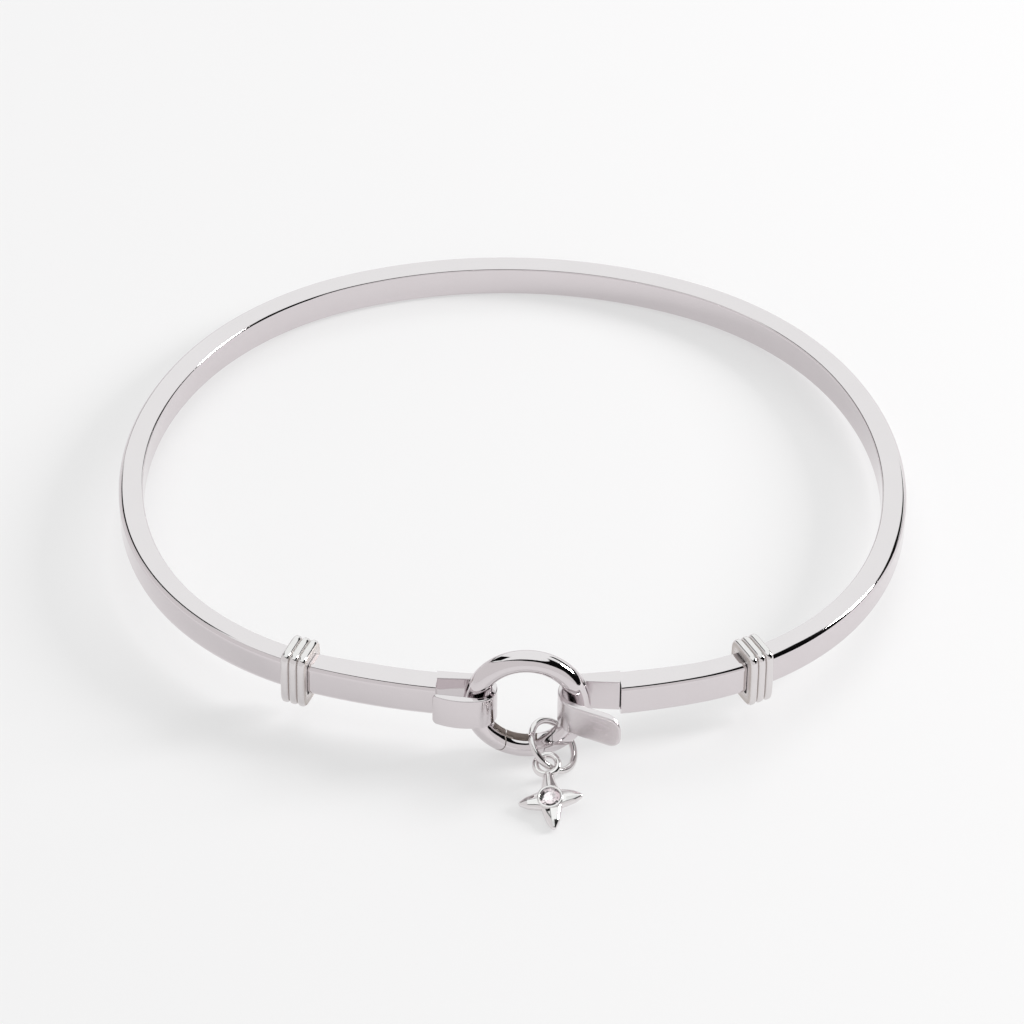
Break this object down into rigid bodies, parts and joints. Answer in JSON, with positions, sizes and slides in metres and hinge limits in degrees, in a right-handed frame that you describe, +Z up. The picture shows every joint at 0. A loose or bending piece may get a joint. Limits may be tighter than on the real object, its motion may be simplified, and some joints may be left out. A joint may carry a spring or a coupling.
{
  "type": "tension bangle",
  "caption": "Stiff oval bangle whose bent ends hook onto a hinged clasp ring that carries a four-pointed star charm with a clear stone.",
  "frame": {"origin": "under the middle of the whole bangle, on the surface that it rests on", "axes": "+Z up, -Y to the front where the clasp ring and the charm are, +X to the wearer's hook side, right as seen from the front"},
  "size_m": [0.068, 0.0688, 0.0105],
  "materials": {
    "silver": "polished",
    "stone": "faceted, clear"
  },
  "bodies": {
    "bangle": {"band": "silver", "left_wrap": "silver", "right_wrap": "silver", "clasp_ring": "silver", "gate_pin": "silver", "jump_ring": "silver", "star": "silver", "stone": "stone"},
    "gate": {"gate": "silver"}
  },
  "joints": [
    {"name": "gate_hinge", "type": "hinge", "parent": "bangle", "child": "gate", "pos_m": [-0.00078, -0.02527, 0.00183], "axis": [0, -0.9897, 0.1431], "range_deg": [0, 8], "stiffness_Nm_per_rad": 0.003, "springref_deg": -17.19}
  ]
}
